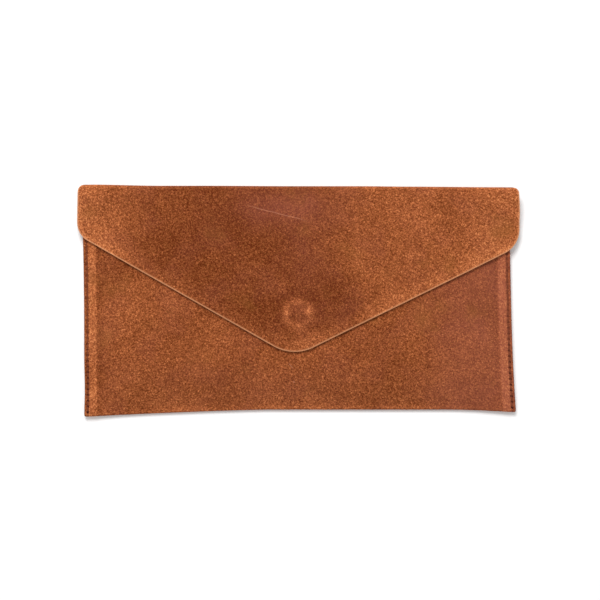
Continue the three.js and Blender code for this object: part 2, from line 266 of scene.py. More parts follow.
def flap_top(x, y, pressed=True):
    """The flap's outer face over the pouch, with or without the snap's print."""
    drop = mix(0.9, 4.6, smooth(TOP - 2, TOP - 27, y)) * smooth(98, 133, np.abs(x))
    curl = 0.35 * smooth(134, FLAP_SIDE, np.abs(x)) * smooth(TOP - 6, TOP - 20, y)
    level = FLAP_LEVEL - drop - curl + slack(x, np.minimum(y, TOP - 8)) + FACING_RISE * pad(x, y)
    return level + snap_print(x, y) * pressed


# ---- the top fold
FOLD_START = TOP - 6.0  # the fold's curve begins here on the flap and on the back
SQUARENESS = 2 / 2.5  # the fold's section is a squarish half ellipse
_turn = np.linspace(0, np.pi / 2, 200)
_out, _up = np.sin(_turn) ** SQUARENESS, np.cos(_turn) ** SQUARENESS
_steps = np.hypot(np.diff(_out) * (TOP - FOLD_START), np.diff(_up) * FLAP_LEVEL / 2)
_run = np.concatenate([[0], np.cumsum(_steps)])
FOLD_HALF = _run[-1]  # length of hide from the flat to half way round the fold
FOLD_MIDDLE = FOLD_START + FOLD_HALF


def fold_point(x, run, depth, side):
    """A point of the fold, run from its start and depth under its face. side: 1 above, -1 below."""
    out, up = np.interp(run, _run, _out), np.interp(run, _run, _up)
    high, low = flap_top(x, FOLD_START + 0 * x, pressed=False), back_bottom(x)
    reach = fold_edge(x) - FOLD_START - depth
    height = (high + low) / 2 + side * ((high - low) / 2 - depth) * up
    return stacked(x, FOLD_START + reach * out, height)


def on_flap(x, s, depth, pressed=True):
    """The flap, and from FOLD_START on the upper half of the fold."""
    flat = stacked(x, s, flap_top(x, s, pressed) - depth)
    return np.where((s > FOLD_START)[..., None], fold_point(x, s - FOLD_START, depth, 1), flat)


def on_back(x, q, depth):
    """The back, where q is y, and from FOLD_START on the lower half of the fold."""
    flat = stacked(x, q, back_bottom(x) + depth)
    return np.where((q > FOLD_START)[..., None], fold_point(x, q - FOLD_START, depth, -1), flat)


# ---- meshes
SHARP = math.radians(40)  # edges bent further than this are shaded as sharp


def new_object(name, points, faces, **attributes):
    """A smooth-shaded mesh object from points in millimetres, with values or vectors per point."""
    mesh = bpy.data.meshes.new(name)
    mesh.from_pydata((np.asarray(points) * MM).tolist(), [], [list(map(int, f)) for f in faces])
    mesh.polygons.foreach_set("use_smooth", [True] * len(mesh.polygons))
    mesh.set_sharp_from_angle(angle=SHARP)
    for key, values in attributes.items():
        values = np.asarray(values, np.float32)
        is_vector = values.ndim == 2
        attribute = mesh.attributes.new(key, "FLOAT_VECTOR" if is_vector else "FLOAT", "POINT")
        attribute.data.foreach_set("vector" if is_vector else "value", values.ravel())
    thing = bpy.data.objects.new(name, mesh)
    bpy.context.scene.collection.objects.link(thing)
    return thing


def shell(name, outer, inner, faces, **attributes):
    """A closed sheet between two faces that share a layout, and share what attributes say."""
    faces = np.asarray(faces, int)
    count = len(outer)
    starts, ends = faces.ravel(), np.roll(faces, -1, axis=1).ravel()
    edges = set(zip(starts.tolist(), ends.tolist()))
    rim = sorted((b, a, a + count, b + count) for a, b in edges if (b, a) not in edges)
    doubled = {key: np.concatenate([value, value]) for key, value in attributes.items()}
    every = [*faces.tolist(), *(faces[:, ::-1] + count).tolist(), *rim]
    return new_object(name, np.concatenate([outer, inner]), every, **doubled)


def grid_shell(name, outer, inner, flipped=False, **attributes):
    """A shell from two grids of points. Rows that go down and columns that go right face +Z."""
    rows, cols = outer.shape[:2]
    index = np.arange(rows * cols).reshape(rows, cols)
    faces = stacked(index[1:, :-1], index[1:, 1:], index[:-1, 1:], index[:-1, :-1]).reshape(-1, 4)
    flat = {}
    for key, value in attributes.items():
        tail = value.shape[2:]
        flat[key] = np.broadcast_to(value, (rows, cols, *tail)).reshape(rows * cols, *tail)
    faces = faces[:, ::-1] if flipped else faces
    return shell(name, outer.reshape(-1, 3), inner.reshape(-1, 3), faces, **flat)


def distance_to(loop, points):
    """How far each point is from a closed loop."""
    best = np.full(len(points), np.inf)
    for a, d in zip(loop, np.roll(loop, -1, axis=0) - loop):
        t = np.clip(((points - a) @ d) / max(d @ d, 1e-12), 0, 1)
        best = np.minimum(best, np.linalg.norm(points - a - t[:, None] * d, axis=1))
    return best


def inside(loop, points):
    """True for each point that a closed loop goes round."""
    x, y = points.T
    found = np.zeros(len(points), bool)
    for (x0, y0), (x1, y1) in zip(loop, np.roll(loop, -1, axis=0)):
        if y0 != y1:
            found ^= ((y0 > y) != (y1 > y)) & (x < (x1 - x0) * (y - y0) / (y1 - y0) + x0)
    return found


def drawn_in(loop, inset):
    """The points of an anticlockwise loop moved inwards, without those that would cross over."""
    ahead = np.roll(loop, -1, axis=0) - np.roll(loop, 1, axis=0)
    inward = stacked(-ahead[:, 1], ahead[:, 0]) / np.linalg.norm(ahead, axis=1)[:, None]
    points = loop + inward * inset
    return points[distance_to(loop, points) > inset - 0.02]


SLIVER = 0.008  # twice a triangle's area: smaller ones only bridge points of a straight edge


def cut(loop, insets, spacing):
    """Points and triangles of a flat piece cut to a loop, with rows of points along its edge."""
    chosen = [loop] + [drawn_in(loop, inset) for inset in insets]
    xs = np.arange(loop[:, 0].min(), loop[:, 0].max(), spacing)
    ys = np.arange(loop[:, 1].min(), loop[:, 1].max(), spacing * math.sqrt(3) / 2)
    field = np.stack(np.meshgrid(xs, ys), axis=-1)
    field[1::2, :, 0] += spacing / 2
    field = field.reshape(-1, 2)
    field = field[inside(loop, field)]
    chosen.append(field[distance_to(loop, field) > max([0, *insets]) + spacing * 0.6])
    border = [(i, (i + 1) % len(loop)) for i in range(len(loop))]
    points = [Vector(p) for p in np.concatenate(chosen)]
    found = delaunay_2d_cdt(points, border, [], 1, 1e-5, False)
    points, triangles = np.array([tuple(p) for p in found[0]]), np.array(found[2], int)
    a, b, c = (points[triangles[:, k]] for k in range(3))
    double_area = (b - a)[:, 0] * (c - a)[:, 1] - (b - a)[:, 1] * (c - a)[:, 0]
    triangles[double_area < 0] = triangles[double_area < 0][:, ::-1]
    wanted = (np.abs(double_area) > SLIVER) & inside(loop, (a + b + c) / 3)
    return points, triangles[wanted]


def worn_edge(edge, radius):
    """How deep the surface lies at a distance from an edge that is worn round."""
    return radius - np.sqrt(np.clip(radius**2 - (radius - edge).clip(0) ** 2, 0, None))


# ---- tone of the hide
# Lighter and darker places: centre, half width, half height, and how much lighter each is.
FLAP_TONES_AND_SHADE = [
    (-140, 40, 31, 90, 2.1),
    (-45, 35, 50, 60, -0.3),
    (-9.5, 11, 5, 4, 0.6),
    (4, -26, 14, 7, 0.95),
    # These two are painted shade to the right and left of the snap's bump.
    (26, -3, 12, 12, -0.45),
    (-22, -6, 9, 10, -0.1),
]
FRONT_TONES_AND_SHADOW = [
    (-110, -10, 30, 24, 0.25),
    (-75, -66, 26, 8, 0.35),
    (0, -66, 60, 8, 0.25),
    (-55, -5, 20, 12, -0.2),
    # Painted shadow on the front just under the flap's left slant.
    (-110, 22, 10, 8, -0.4),
]


def toned(spots, x, y):
    return sum(level * hill(x - cx, y - cy, w, h) for cx, cy, w, h, level in spots)


# ---- flap
SLANT = math.radians(28)


def flap_outline(inset=0.0, end=FOLD_MIDDLE, fold_sides=(FOLD_LEFT, FOLD_RIGHT), narrow_from=None):
    """The flap's cut in hide coordinates, up to a straight end across it."""
    rise = inset / math.cos(SLANT)
    shoulder = rise - inset * math.tan(SLANT)
    left, right = FLAP_LEFT + inset, FLAP_RIGHT - inset
    corners = [
        [left, end, 0.01],
        [left, TOP - 30.8 + shoulder, 13],
        [-3, FLAP_TIP - 3.6 + rise, 27],
        [right, TOP - 37.9 + shoulder, 17],
        [right, end, 0.01],
    ]
    loop = rounded(corners)
    for corner in (corners[0][:2], corners[-1][:2]):
        loop[np.argmin(np.linalg.norm(loop - corner, axis=1))] = corner
    x, s = loop.T
    if narrow_from is None:
        to_fold = (1 - np.interp(s - FOLD_START, _run, _out)) * (TOP - FOLD_START)
        t = np.clip(1 - to_fold / FOLD_CORNER, 0, 1) * (s > FOLD_START)
        share = 1 - np.sqrt(1 - t**2)
    else:
        share = smooth(narrow_from, FOLD_START + 2, s)
    middle = (left + right) / 2
    flat_half = np.where(x < middle, middle - left, right - middle)
    fold_half = np.where(x < middle, middle - fold_sides[0], fold_sides[1] - middle)
    taper = np.where(x < middle, 0.8 * smooth(48, 68, s), -0.8 * smooth(55, 69, s))
    loop[:, 0] = middle + (x - middle) * mix(1, fold_half / flat_half, share) + taper * (1 - share)
    return loop


def side_only_distance(loop, points):
    """Distance to the two side edges, for the stretch whose end goes on into another piece."""
    upper = loop[(loop[:, 1] > FOLD_START - 16) & (loop[:, 1] < loop[:, 1].max() - 0.01)]
    gaps = []
    for side in (-1, 1):
        edge = upper[upper[:, 0] * side > 0]
        order = np.argsort(edge[:, 1])
        limit = np.interp(points[:, 1], edge[order, 1], edge[order, 0])
        gaps.append((limit - points[:, 0]) * side)
    return np.minimum(*gaps)


def edge_distance(loop, points):
    beside_end = points[:, 1] > FOLD_START - 4
    return np.where(beside_end, side_only_distance(loop, points), distance_to(loop, points)).clip(0)


def flap_layer(name, loop, spacing, insets, depth, thickness, worn, pressed, **attributes):
    """One layer of the flap, cut to a loop. Depth under the flap's face depends on s and the edge."""
    points, triangles = cut(loop, insets, spacing)
    x, s = points.T
    edge = edge_distance(loop, points)
    top = depth(s, edge)
    outer = on_flap(x, s, top + worn_edge(edge, worn), pressed)
    inner = on_flap(x, s, top + thickness, pressed)
    given = {key: value(x, s, edge) for key, value in attributes.items()}
    return shell(name, outer, inner, triangles, **given)


NO_SEAM = 30  # distance from a seam that is given where there is none
WORN = 0.6  # radius that the flap's cut edge is worn to
WORN_ROWS = [WORN * (1 - math.cos(math.radians(a))) for a in (28, 50, 72, 90)]


FLAP_THINNER = 0.12  # lets the flap's hide clear the facing where its edge is pressed in


def pressed_edge(s, edge):
    """Two faint steps along the edge, where hide and facing are bonded and pressed."""
    return 0.12 * (1 - smooth(2.4, 3.3, edge)) + 0.14 * (1 - smooth(5.0, 7.0, edge))


def snap_light_and_shade(x, s):
    """Painted highlights on the snap's raised ring, on the print of its prongs and in its middle, and
    painted shade in a ring round its bump.
    """
    dx, dy, radius = x - SNAP_X, s - SNAP_Y, snap_radius(x, s)
    ring = 1.2 * ridge(radius, 8.1, 2.0) + 0.5 * hill(dx, dy + 8.4, 3, 2)
    prongs = 1.5 * (hill(dx + 7.2, dy - 0.5, 2.0, 2.4) + hill(dx - 6.4, dy - 1.4, 2.0, 2.4))
    return ring + prongs + 0.6 * hill(dx, dy, 1.4, 1.4) - 0.3 * ridge(radius, 14, 3.5)


def flap_tone(x, s, edge):
    """Dark in the middle and lighter to the right and along the cut, with painted light and shade on
    the fold, along the ends' ridge and round the snap.
    """
    across_it = x - 0.7 * np.clip(30 - s, 0, 60)
    right = 1.0 * smooth(0, 45, across_it) + 0.7 * smooth(95, 137, x)
    slants = 0.65 * (1 - smooth(2, 13, edge)) * smooth(45, 30, s)
    # Painted highlight over the top of the fold, with a darker line just below it.
    fold = 0.5 * smooth(FOLD_START + 4.2, FOLD_START + 5.5, s) - 0.35 * ridge(s, FOLD_START + 3, 0.8)
    # Painted highlight and shade along a faint ridge inside the cut edge at the flap's ends.
    ridge_light_and_shade = 0.4 * ridge(edge, 2.3, 0.6) - 0.7 * ridge(edge, 3.5, 0.55)
    ends = ridge_light_and_shade * smooth(112, 126, np.abs(x)) * smooth(FOLD_START, FOLD_START - 6, s)
    return -0.57 + toned(FLAP_TONES_AND_SHADE, x, s) + right + slants + fold + ends + snap_light_and_shade(x, s)


def flap_mauve(x, s, edge):
    return 0.75 * hill(x + 8, s - 58, 30, 12) + 0.25 * hill(x - 5, s - 30, 16, 40)


hide_flap = flap_layer(
    "hide_flap",
    flap_outline(),
    spacing=1.15,
    insets=[*WORN_ROWS, 1.2, 2.0, 2.9, 3.8, 5.0, 6.2],
    depth=pressed_edge,
    thickness=HIDE - FLAP_THINNER,
    worn=WORN,
    pressed=True,
    hide=lambda x, s, edge: stacked(x, s, 0),
    tone=flap_tone,
    mauve=flap_mauve,
    cut_edge=lambda x, s, edge: 1 - smooth(0.25, 1.0, edge),
    seam=lambda x, s, edge: stacked(edge + NO_SEAM, s, 0),
)


def facing_depth(s, edge):
    """The facing is bonded to the hide along the edge and over the fold, round the stiffener."""
    inside_edge = mix(HIDE + 0.2, FACING_DEPTH, smooth(3, 8, edge))
    return mix(inside_edge, INTERLINING_DEPTH, smooth(FOLD_START - 10, FOLD_START - 2, s))


facing_flap = flap_layer(
    "facing_flap",
    flap_outline(0.2, fold_sides=(-LINING_SIDE, LINING_SIDE), narrow_from=FOLD_START - 24),
    spacing=1.7,
    insets=[0.12, 0.3, 0.8, 2.0, 3.4],
    depth=facing_depth,
    thickness=FACING,
    worn=0.3,
    pressed=False,
    hide=lambda x, s, edge: stacked(x + 500, s, 0),
    tone=lambda x, s, edge: 0.2 * waves(x, s, 50, 21),
    mauve=lambda x, s, edge: 0.2 + 0 * x,
    cut_edge=lambda x, s, edge: 1 - smooth(0.1, 0.6, edge),
)

stiffener_flap = flap_layer(
    "stiffener_flap",
    flap_outline(9.0, end=FOLD_START - 11),
    spacing=4.0,
    insets=[0.1],
    depth=lambda s, edge: INTERLINING_DEPTH + 0 * s,
    thickness=CLOTH,
    worn=0.1,
    pressed=False,
    hide=lambda x, s, edge: stacked(x, s, 0),
)

# ---- front and back panels
# Columns over a panel, as distances in from its side edge, which is a rolled and turned hem: first
# the turned part from its cut end outwards, then the roll, then the outer face.
HEM_END = [7.6, 5.0, 2.6]
ROLL = np.radians([180, 157, 135, 112, 90, 67, 45, 22])
FACE = [1, 1.35, 1.7, 2, 2.3, 2.6, 2.9, 3.3, 3.9, 4.7, 5.6, 6.5, 7.2, 7.7, 8.1, 8.5, 9, 9.8, 11]
ROW = STITCH_PITCH / 5
MIDDLE_STEP = 1.9


def edge_columns(hemmed):
    """For each column, distance in and depth outside, then inside. A plain edge is one layer."""
    if hemmed:
        flange = [(e, 2, e, 1.05) for e in HEM_END]
        roll = [(1 - math.sin(a), 1 - math.cos(a)) for a in ROLL]
        roll = [(e, d, mix(1, e, 0.05), mix(1, d, 0.05)) for e, d in roll]
        return np.array(flange + roll + [(e, 0, e, 0.95) for e in FACE])
    flange = [(0.6, HIDE, 0.6, 0.96)] * len(HEM_END)
    roll = [((1 - math.sin(a)) * HIDE / 2, (1 - math.cos(a)) * HIDE / 2, 0.6, 0.96) for a in ROLL]
    return np.array(flange + roll + [(e, 0, e, HIDE) for e in FACE])


def panel_columns(hem_share):
    """Share of the width, and for each row and column what edge_columns gives."""
    edge = mix(edge_columns(False), edge_columns(True), hem_share[:, None, None])
    count = round((2 * SIDE - 2 * FACE[-1]) / MIDDLE_STEP)
    middle = np.repeat(edge[:, -1:], count - 1, axis=1)
    every = np.concatenate([edge, middle, edge[:, ::-1]], axis=1)
    left, right = np.zeros(edge.shape[1]), np.ones(edge.shape[1])
    share = np.concatenate([left, np.arange(1, count) / count, right])
    return share[None, :], *np.moveaxis(every, -1, 0)


def across(y, share, inset, left=left_edge, right=right_edge):
    """x at a share of the way between the two side edges, both drawn in by inset."""
    return mix(left(y) + inset, right(y) - inset, share)


def bottom_start(x):
    """y where the front and the back run into the bottom fold, and that fold's outer radius."""
    edge = bottom_edge(x)
    radius = (front_top(x, edge + 1.7) - back_bottom(x)) / 2
    return edge + radius, radius


def hem_tone(edge):
    """Where the hem's raised band is, and the shaded step beside it."""
    band = smooth(1.4, 3.4, edge) * (1 - smooth(HEM - 0.6, HEM + 0.5, edge))
    return band, ridge(edge, HEM + 2.2, 1.6)


def make_front_hide():
    mouth_rows = np.array([0, 0.05, 0.18, 0.45])[:, None]
    rows = round((MOUTH - BOTTOM) / ROW)
    turns = np.radians(np.linspace(0, 180, 13))[1:, None]
    share, a_out, b_out, a_in, b_in = panel_columns(np.ones(len(mouth_rows) + rows))
    start, radius = bottom_start(across(BOTTOM, share, a_out[:1]))
    down = mix(MOUTH - mouth_rows[-1] - ROW, start, np.linspace(0, 1, rows)[:, None])
    y = np.concatenate([MOUTH - mouth_rows + 0 * start, down])
    on_face = b_out < 0.5

    def face(a, b, outside):
        x = across(y, share, a)
        shaped = (seam_relief(x, y) - worn_edge(MOUTH - y, 0.45)) * on_face * outside
        upper = stacked(x, y, front_top(x, y) - b + shaped)
        x, b = x[-1:], b[-1:]
        half = (front_top(x, y[-1:]) - back_bottom(x)) / 2
        middle = back_bottom(x) + half
        lower = stacked(x, start - (half - b) * np.sin(turns), middle + (half - b) * np.cos(turns))
        return np.concatenate([upper, lower])

    outer, inner = face(a_out, b_out, 1), face(a_in, b_in, 0)
    x, y_all = outer[..., 0], outer[..., 1]
    s_back = 2 * FOLD_MIDDLE - start
    s = np.concatenate([s_back + np.pi * radius + y - start, s_back + radius * (np.pi - turns)])
    edge = side_distance(x, np.concatenate([y, start + 0 * turns]))
    on_face = np.concatenate([on_face, on_face[:1] & (turns < 1.7)])
    band, beside = hem_tone(edge)
    tone = 0.15 + toned(FRONT_TONES_AND_SHADOW, x, y_all) + 1.15 * band - 0.3 * beside
    rosy = 0.2 * hill(x + 10, y_all + 55, 40, 12) + 0.4 * band * (x > 0)
    return grid_shell(
        "hide_front",
        outer,
        inner,
        hide=stacked(x, s, 0),
        tone=tone + 0.6 * ridge(y_all, bottom_edge(x) + 0.6, 1.6),
        mauve=0.7 * smooth(70, 105, x) + rosy,
        cut_edge=0.7 * ridge(y_all, MOUTH, 0.5),
        seam=stacked(np.where(on_face, edge, NO_SEAM), y_all - first_stitch(x), 0),
    )


def back_left(y):
    return mix(left_edge(y), FOLD_LEFT, smooth(35, FOLD_START, y))


def back_right(y):
    return mix(right_edge(y), FOLD_RIGHT, smooth(35, FOLD_START, y))


def make_back_hide():
    rows = round((FOLD_START - BOTTOM) / ROW)
    runs = np.linspace(0, FOLD_HALF, 15)[1:, None]
    climb = np.linspace(0, 1, rows)[:, None]
    hem_share = 1 - smooth(FOLD_START - 9, FOLD_START - 1, mix(BOTTOM, FOLD_START, climb[:, 0]))
    hem_share = np.concatenate([hem_share, np.zeros(len(runs))])
    share, a_out, b_out, a_in, b_in = panel_columns(hem_share)
    start, _ = bottom_start(across(BOTTOM, share, a_out[:1]))
    q = np.concatenate([mix(start, FOLD_START, climb), FOLD_START + runs + 0 * start])
    y = np.minimum(q, FOLD_START)
    stitched = (b_out < 0.5) * (1 - smooth(MOUTH - 8, MOUTH - 4, y))

    def face(a, b, outside):
        x = across(y, share, a, back_left, back_right)
        return on_back(x, q, b - seam_relief(x, y) * stitched * outside)

    outer, inner = face(a_out, b_out, 1), face(a_in, b_in, 0)
    x = outer[..., 0]
    edge = np.minimum(x - back_left(y), back_right(y) - x)
    band, beside = hem_tone(edge)
    return grid_shell(
        "hide_back",
        outer,
        inner,
        hide=stacked(x, 2 * FOLD_MIDDLE - q, 0),
        tone=0.15 * waves(x, y, 60, 8) + 0.3 * band - 0.1 * beside,
        mauve=0.15 + 0 * x,
        seam=stacked(np.where(stitched > 0.5, edge, NO_SEAM), y - first_stitch(x), 0),
    )


hide_front = make_front_hide()
hide_back = make_back_hide()


# ---- facings and linings of the pouch
def layer_grid(low, high, row_step):
    """x and y of a grid between two heights, whose rows go down."""
    x = np.linspace(-LINING_SIDE, LINING_SIDE, 101)[None, :]
    low = low(x) if callable(low) else low + 0 * x
    rows = round((high - low.min()) / row_step)
    return x + np.zeros((rows, 1)), mix(high, low, np.linspace(0, 1, rows)[:, None])


def panel_layer(name, place, grid, thickness, flipped, seed, cut_edge=0.0):
    """A layer of the pouch between place(x, y, 0) and place(x, y, thickness)."""
    x, y = grid
    return grid_shell(
        name,
        place(x, y, 0 * x),
        place(x, y, thickness + 0 * x),
        flipped,
        hide=stacked(x + 500 * seed, y, 0),
        tone=0.2 * waves(x, y, 50, 20 + seed),
        mauve=0.2 + 0 * x,
        cut_edge=cut_edge + 0 * x,
    )


def under_front(dip):
    return lambda x, y, depth: stacked(x, y, front_top(x, y, dip) - HIDE - GAP - depth)


def over_back(x, q, depth):
    return on_back(x, q, HIDE + GAP + depth)


def lining_foot(x):
    return bottom_edge(x) + 3.2


mouth_grid = layer_grid(FACING_END, MOUTH - EDGE_GAP, 1.2)
mouth_pale = 0.7 * ridge(mouth_grid[1], MOUTH - EDGE_GAP, 0.6)
facing_front = panel_layer("facing_front", under_front(0), mouth_grid, FACING, False, 2, mouth_pale)
back_grid = layer_grid(FACING_END, FOLD_MIDDLE, 0.9)
facing_back = panel_layer("facing_back", over_back, back_grid, FACING, True, 3)
lining_grid = layer_grid(lining_foot, FACING_END - EDGE_GAP, 2.5)
cloth_front = panel_layer("cloth_front", under_front(LINING_DIP), lining_grid, CLOTH, False, 4)
cloth_back = panel_layer("cloth_back", over_back, lining_grid, CLOTH, True, 5)

SLIP_HEM = 8.0


def slip_top(x, y):
    """The slip pocket's upper face: its top edge is turned over twice and gapes a little."""
    down = SLIP_HI[1] - y
    turned_over = 0.35 * (1 - smooth(SLIP_HEM, SLIP_HEM + 0.6, down))
    return SLIP_LO[2] + CLOTH + turned_over + 0.5 * hill(x, down, 34, 30)


slip_rows = np.linspace(0, 1, 60)[:, None] ** 1.2
slip_x = np.linspace(SLIP_LO[0], SLIP_HI[0], 60)[None, :] + 0 * slip_rows
slip_y = mix(SLIP_HI[1], SLIP_LO[1], slip_rows) + 0 * slip_x
cloth_slip_pocket = grid_shell(
    "cloth_slip_pocket",
    stacked(slip_x, slip_y, slip_top(slip_x, slip_y)),
    stacked(slip_x, slip_y, SLIP_LO[2] + 0.5 * hill(slip_x, SLIP_HI[1] - slip_y, 34, 30)),
    hide=stacked(slip_x + 3000, slip_y, 0),
)


# ---- tubes, strips and turned pieces
def swept(rings):
    """Points and faces of a closed tube through rings of points, one row to a ring."""
    rows, cols = rings.shape[:2]
    index = np.arange(rows * cols).reshape(rows, cols)
    ahead = np.roll(index, -1, axis=1)
    sides = stacked(index[:-1], ahead[:-1], ahead[1:], index[1:]).reshape(-1, 4).tolist()
    return rings.reshape(-1, 3), [*sides, index[0, ::-1].tolist(), index[-1].tolist()]


def joined(name, parts, **attributes):
    """One mesh from closed parts, with outward faces, and points that fall together made one."""
    points, faces, count = [], [], 0
    for part_points, part_faces in parts:
        points.append(part_points)
        faces += [[int(i) + count for i in face] for face in part_faces]
        count += len(part_points)
    points = np.concatenate(points)
    thing = new_object(name, points, faces, **(attributes or {"hide": points}))
    shape = bmesh.new()
    shape.from_mesh(thing.data)
    bmesh.ops.remove_doubles(shape, verts=shape.verts, dist=0.0005 * MM)
    loose = [edge for edge in shape.edges if not edge.link_faces]
    bmesh.ops.delete(shape, geom=loose, context="EDGES")
    bmesh.ops.recalc_face_normals(shape, faces=shape.faces)
    shape.to_mesh(thing.data)
    shape.free()
    return thing


def stitch_row(name, holes, up, sink=0.5, lift=0.3):
    """Thread along a row of holes, dipping into each and standing proud between them."""
    up = np.array([0, 0, up], float)
    t = np.linspace(0, 1, 10)[:-1]
    proud = (lift + sink) * np.sin(np.pi * t) ** 0.8 - sink
    ahead = holes[1:] - holes[:-1]
    ahead /= np.linalg.norm(ahead, axis=1)[:, None]
    aside = np.cross(ahead, up)
    slanted = 0.16 * np.sin(2 * np.pi * t)
    centre = mix(holes[:-1, None], holes[1:, None], t[:, None])
    centre = centre + up * proud[:, None] + aside[:, None] * slanted[:, None]
    centre = np.vstack([centre.reshape(-1, 3), holes[-1] - up * sink])
    aside = np.repeat(aside, len(t), axis=0)
    aside = np.vstack([aside, aside[-1:]])
    turns = np.linspace(0, 2 * np.pi, 10, endpoint=False)[:, None]
    width, height = THREAD * 1.15, THREAD * 0.8
    ring = aside[:, None] * np.cos(turns) * width / 2 + up * np.sin(turns) * height / 2
    rings = centre[:, None] + ring
    along = np.arange(len(rings))[:, None] * STITCH_PITCH / len(t)
    return joined(name, [swept(rings)], hide=stacked(along, turns[:, 0], 0).reshape(-1, 3))


def seam_holes(side, front):
    """The stitch holes along one side seam, on the front or on the back."""

    def line(y):
        return right_edge(y) - STITCH_INSET if side > 0 else left_edge(y) + STITCH_INSET

    start = first_stitch(line(BOTTOM))
    y = start + STITCH_PITCH * np.arange(int((MOUTH - 1.5 - start) / STITCH_PITCH) + 1)
    y = y if front else y[y < MOUTH - 9]
    x = line(y)
    between = y + STITCH_PITCH / 2
    groove = seam_relief(line(between), between)
    return stacked(x, y, front_top(x, y) + groove if front else back_bottom(x) - groove)


def slip_holes():
    """Down one side of the slip pocket, across its foot and up the other side."""
    inset, pitch = 2.3, 3.0
    left, right, low = SLIP_LO[0] + inset, SLIP_HI[0] - inset, SLIP_LO[1] + inset
    high = SLIP_HI[1] - 0.8
    corners = np.array([[left, high], [left, low], [right, low], [right, high]])
    run = length_along(corners)
    at = np.linspace(0, run[-1], round(run[-1] / pitch))
    x, y = np.interp(at, run, corners[:, 0]), np.interp(at, run, corners[:, 1])
    return stacked(x, y, slip_top(x, y))


stitching = {}
for side, place in ((-1, "left"), (1, "right")):
    for row, up in (("needle", 1), ("bobbin", -1)):
        holes = seam_holes(side, up > 0)
        stitching[f"{row}_thread_{place}"] = stitch_row(f"{row}_stitches_{place}", holes, up)
slip_pocket_stitches = stitch_row("slip_pocket_stitches", slip_holes(), 1, sink=0.1, lift=0.2)


TURNED_SIDES = 96


def turned(corners, step=0.12):
    """Points and faces of a piece turned about the snap's axis, from corners [radius, z, rounding]."""
    r, z = rounded(corners, step).T
    turns = np.linspace(0, 2 * np.pi, TURNED_SIDES, endpoint=False)[:, None]
    points = stacked(SNAP_X + r * np.cos(turns), SNAP_Y + r * np.sin(turns), z)
    index = np.arange(points.shape[0] * points.shape[1]).reshape(points.shape[:2])
    ahead, along = np.roll(index, -1, axis=0), np.roll(index, -1, axis=1)
    faces = stacked(index, ahead, np.roll(ahead, -1, axis=1), along).reshape(-1, 4)
    return points.reshape(-1, 3), faces


def bent_strip(path, width, thick):
    """Points and faces of a flat strip that follows a path [x, z] in the snap's middle plane."""
    path = np.asarray(path, float)
    ahead = np.gradient(path, axis=0)
    ahead /= np.linalg.norm(ahead, axis=1)[:, None]
    aside = stacked(-ahead[:, 1], ahead[:, 0])
    rings = []
    for across_it, out in ((-1, -1), (1, -1), (1, 1), (-1, 1)):
        line = path + aside * thick / 2 * out
        rings.append(stacked(line[:, 0], SNAP_Y + width / 2 * across_it, line[:, 1]))
    return swept(np.stack(rings, axis=1))


SHEET = 0.35  # brass sheet that the snap's shells are pressed from
SOCKET_FOOT, SOCKET_TOP = SOCKET_LO[2], SOCKET_HI[2]
SOCKET_HOLE = 3.4
socket_section = [
    [SNAP_RADIUS - SHEET, SOCKET_FOOT, 0.05],
    [SNAP_RADIUS, SOCKET_FOOT, 0.08],
    [SNAP_RADIUS, SOCKET_TOP, 0.55],
    [6.4, SOCKET_TOP, 0.25],
    [6.1, SOCKET_TOP - 0.15, 0.15],
    [5.7, SOCKET_TOP - 0.15, 0.15],
    [5.4, SOCKET_TOP, 0.25],
    [SOCKET_HOLE, SOCKET_TOP, 0.25],
    [SOCKET_HOLE, SOCKET_FOOT + 0.8, 0.02],
    [SOCKET_HOLE + SHEET, SOCKET_FOOT + 0.8, 0.02],
    [SOCKET_HOLE + SHEET, SOCKET_TOP - SHEET, 0.02],
    [SNAP_RADIUS - SHEET, SOCKET_TOP - SHEET, 0.2],
]
socket_cover = joined("socket_cover", [turned(socket_section)])

PLATE = 0.7  # thickness of the stud's plate
STEM = 1.4  # radius of the hole that the post is riveted into
plate_section = [
    [STEM, PLATE_UNDER, 0.04],
    [4.6, PLATE_UNDER, 0.25],
    [4.9, PLATE_UNDER + 0.14, 0.15],
    [5.5, PLATE_UNDER + 0.14, 0.15],
    [5.8, PLATE_UNDER, 0.25],
    [SNAP_RADIUS, PLATE_UNDER, 0.35],
    [SNAP_RADIUS, PLATE_UNDER + PLATE, 0.15],
    [STEM, PLATE_UNDER + PLATE, 0.04],
]
PRONG_IN, PRONG_OUT, PRONG_THICK, PRONG_WIDTH, PRONG_BEND = 3.85, 7.5, 0.45, 2.2, 0.8
prong_z = PRONG_TOP - PRONG_THICK / 2
prong = [(PRONG_IN, PLATE_UNDER + PLATE / 2), (PRONG_IN, prong_z - PRONG_BEND)]
for angle in np.radians([150, 120, 90]):
    centre_x, centre_z = PRONG_IN + PRONG_BEND, prong_z - PRONG_BEND
    prong.append((centre_x + PRONG_BEND * math.cos(angle), centre_z + PRONG_BEND * math.sin(angle)))
prong += [(6.2, prong_z), (PRONG_OUT, prong_z - 0.05)]
stud_parts = [turned(plate_section)]
for side in (-1, 1):
    path = [(SNAP_X + side * x, z) for x, z in prong]
    stud_parts.append(bent_strip(path, PRONG_WIDTH, PRONG_THICK))
stud_cover = joined("stud_cover", stud_parts)

PIN_RADIUS = (PIN_HI - PIN_LO)[0] / 2
pin_section = [
    [0, PIN_LO[2], 0.001],
    [PIN_RADIUS, PIN_LO[2], 0.35],
    [PIN_RADIUS, PLATE_UNDER - 0.05, 0.1],
    [STEM - 0.2, PLATE_UNDER - 0.05, 0.02],
    [STEM - 0.2, PIN_HI[2], 0.05],
    [0, PIN_HI[2], 0.001],
]
stud_post = joined("stud_post", [turned(pin_section)])

